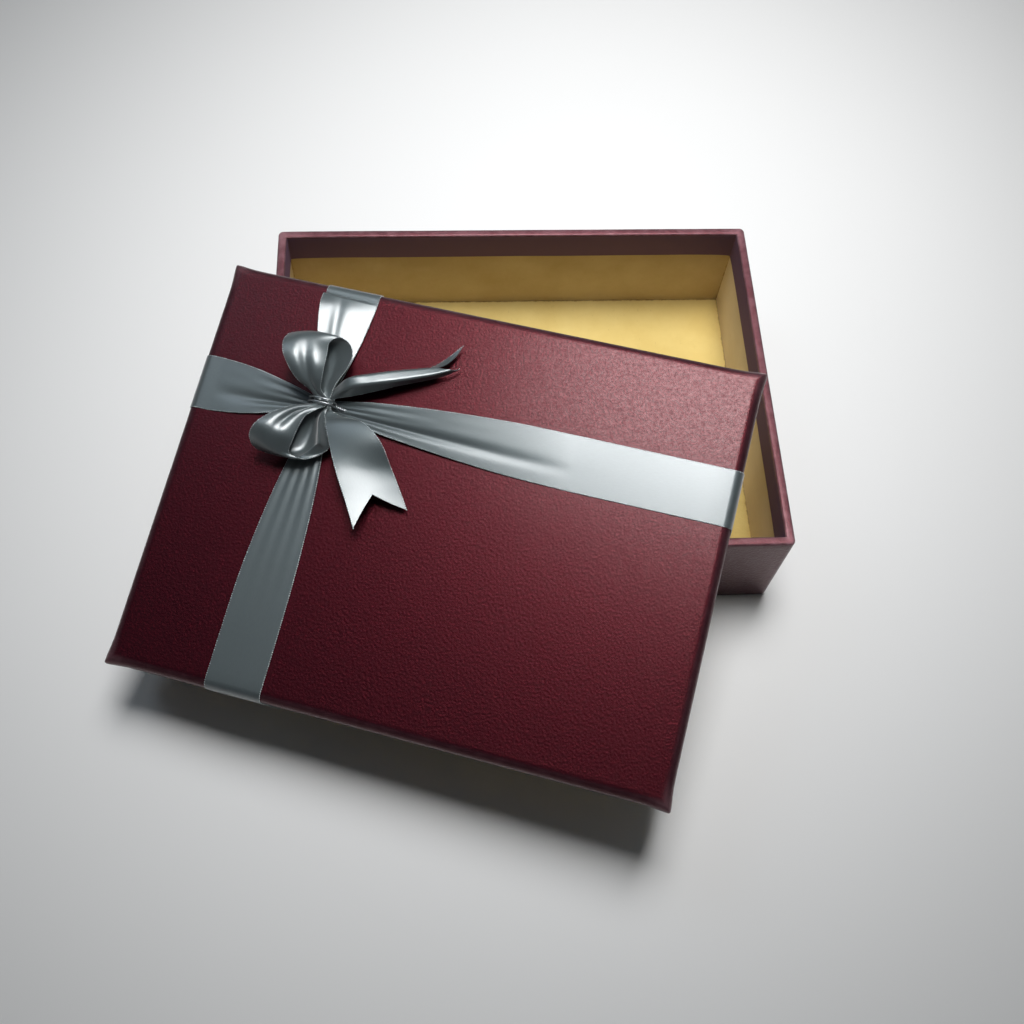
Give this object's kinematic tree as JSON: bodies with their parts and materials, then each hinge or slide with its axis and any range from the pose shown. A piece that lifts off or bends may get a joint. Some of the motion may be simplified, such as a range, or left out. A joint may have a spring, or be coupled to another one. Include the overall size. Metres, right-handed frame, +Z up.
{
  "type": "gift box",
  "caption": "Rectangular lift-off-lid gift box in leather-grain paper over board; the lid lies askew on the base and carries a satin ribbon cross with a bow.",
  "frame": {"origin": "middle of the base's underside, on the surface that the box stands on", "axes": "+X along the base's long side, +Y to the base's back wall, +Z up"},
  "size_m": [0.2438, 0.2376, 0.0868],
  "materials": {
    "raw_board": "raw golden-yellow board with fine fibres and specks",
    "leather_grain_paper": "wine-red leather-grain embossed covering paper with a soft sheen",
    "kraft_tape": "plain gummed kraft tape",
    "satin_ribbon": "silver-grey satin with stitched edges",
    "tie_wire": "soft bright steel tie wire"
  },
  "bodies": {
    "base": {"base_bottom_board": "raw_board", "base_front_board": "raw_board", "base_back_board": "raw_board", "base_left_board": "raw_board", "base_right_board": "raw_board", "base_corner_tape_front_left": "kraft_tape", "base_corner_tape_front_right": "kraft_tape", "base_corner_tape_back_left": "kraft_tape", "base_corner_tape_back_right": "kraft_tape", "base_side_paper": "leather_grain_paper", "base_bottom_paper": "leather_grain_paper"},
    "lid": {"lid_panel_board": "raw_board", "lid_front_board": "raw_board", "lid_back_board": "raw_board", "lid_left_board": "raw_board", "lid_right_board": "raw_board", "lid_corner_tape_front_left": "kraft_tape", "lid_corner_tape_front_right": "kraft_tape", "lid_corner_tape_back_left": "kraft_tape", "lid_corner_tape_back_right": "kraft_tape", "lid_paper": "leather_grain_paper", "lengthwise_ribbon": "satin_ribbon", "crosswise_ribbon": "satin_ribbon", "bow_loops": "satin_ribbon", "bow_tails": "satin_ribbon", "bow_tie_wire": "tie_wire"}
  },
  "joints": [
    {"name": "lid_lift", "type": "slide", "parent": "base", "child": "lid", "axis": [0, 0, 1], "range_m": [0, 0.12]}
  ]
}
